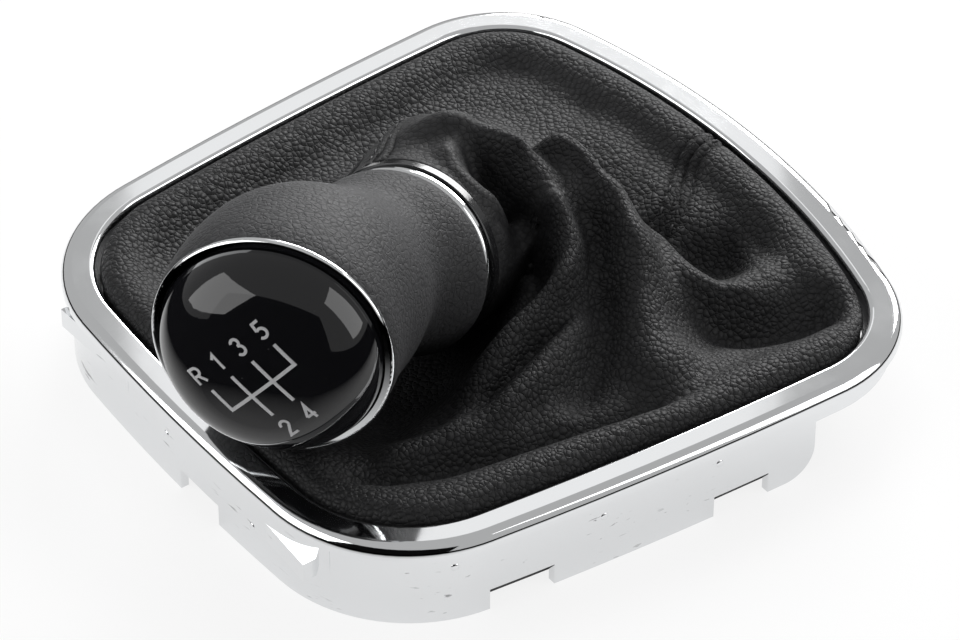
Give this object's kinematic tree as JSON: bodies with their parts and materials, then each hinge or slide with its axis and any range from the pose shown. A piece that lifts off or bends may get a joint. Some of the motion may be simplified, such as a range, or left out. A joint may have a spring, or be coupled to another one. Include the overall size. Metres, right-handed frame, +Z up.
{
  "type": "gear shift knob",
  "caption": "Soft gear knob with chrome rings, a domed cap with a printed shift pattern, and a folded leather gaiter held in a chrome console frame; its bore takes the gear lever.",
  "frame": {"origin": "middle of the console frame's length, on its line of symmetry, on the plane of the skirt's feet", "axes": "+X towards the frame's wide, bowed end, +Z up out of the console"},
  "size_m": [0.1587, 0.1476, 0.0743],
  "materials": {
    "bezel_chrome": "bright plating with fine scuffs",
    "ring_chrome": "bright plating",
    "frame_black": "fine texture",
    "gaiter_leather": "pebbled grain, semi-matte",
    "collar_black": "gloss",
    "grip_soft": "soft touch, fine leather grain",
    "core_black": "as moulded",
    "cap_gloss": "high gloss",
    "print_grey": "flat print",
    "clamp_steel": "zinc plated"
  },
  "bodies": {
    "frame": {"bezel": "bezel_chrome", "gaiter_frame": "frame_black", "gaiter": "gaiter_leather"},
    "knob": {"gaiter_collar": "collar_black", "neck_ring": "ring_chrome", "knob_grip": "grip_soft", "knob_core": "core_black", "cap_ring": "ring_chrome", "cap": "cap_gloss", "shift_pattern": "print_grey", "lever_clamp": "clamp_steel"}
  },
  "joints": [
    {"name": "knob_lean", "type": "hinge", "parent": "frame", "child": "knob", "pos_m": [0.01005, 0.01158, 0.02651], "axis": [-0.4664, 0.8846, 0], "range_deg": [0, 86], "deforming": ["gaiter"]}
  ]
}
